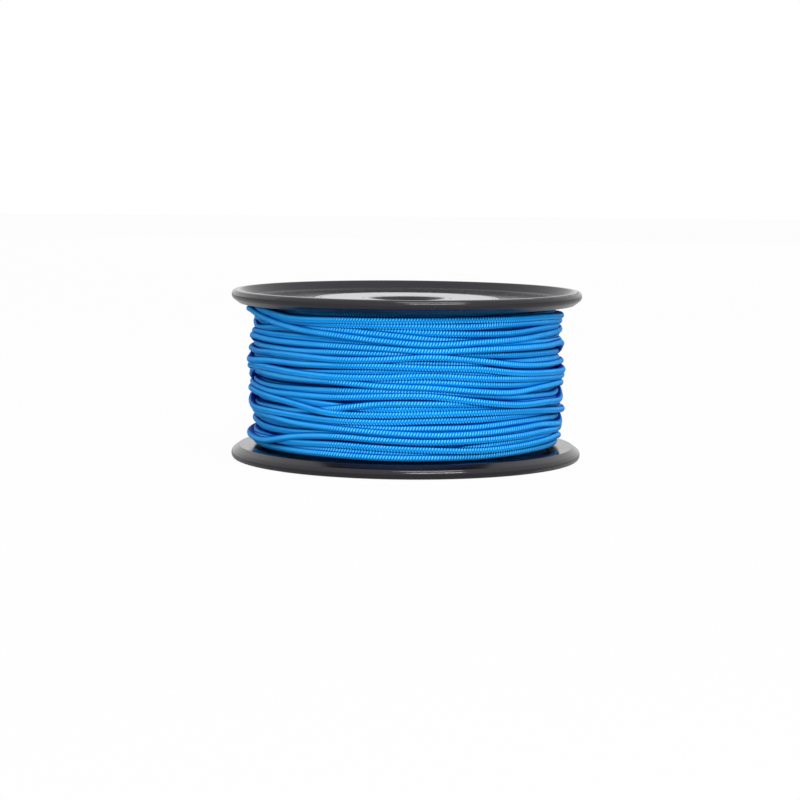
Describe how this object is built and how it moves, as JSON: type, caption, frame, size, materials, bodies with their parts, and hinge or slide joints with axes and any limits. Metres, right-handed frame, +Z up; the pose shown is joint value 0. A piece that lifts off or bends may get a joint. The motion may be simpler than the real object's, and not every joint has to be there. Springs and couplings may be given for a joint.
{
  "type": "fishing line spool",
  "caption": "Snap-together plastic spool with two dished flanges and a barrel, wound full with braided line, with a bore for a spindle.",
  "frame": {"origin": "on the spool's axis, in the plane that the lower flange's rim stands on", "axes": "+Z up along the spool's axis, from the lower flange to the upper one; +X through the hole in the barrel where the line starts"},
  "size_m": [0.082, 0.082, 0.0395],
  "materials": {
    "black_plastic": "moulded, glossy, lightly scuffed",
    "label_paper": "matt white paper label",
    "braided_line": "braided, slightly shiny"
  },
  "bodies": {
    "root": {"bottom_flange": "black_plastic", "top_flange": "black_plastic", "barrel": "black_plastic", "bottom_label": "label_paper", "top_label": "label_paper", "line_core": "braided_line", "wound_line": "braided_line", "start_knot": "braided_line"}
  },
  "joints": []
}
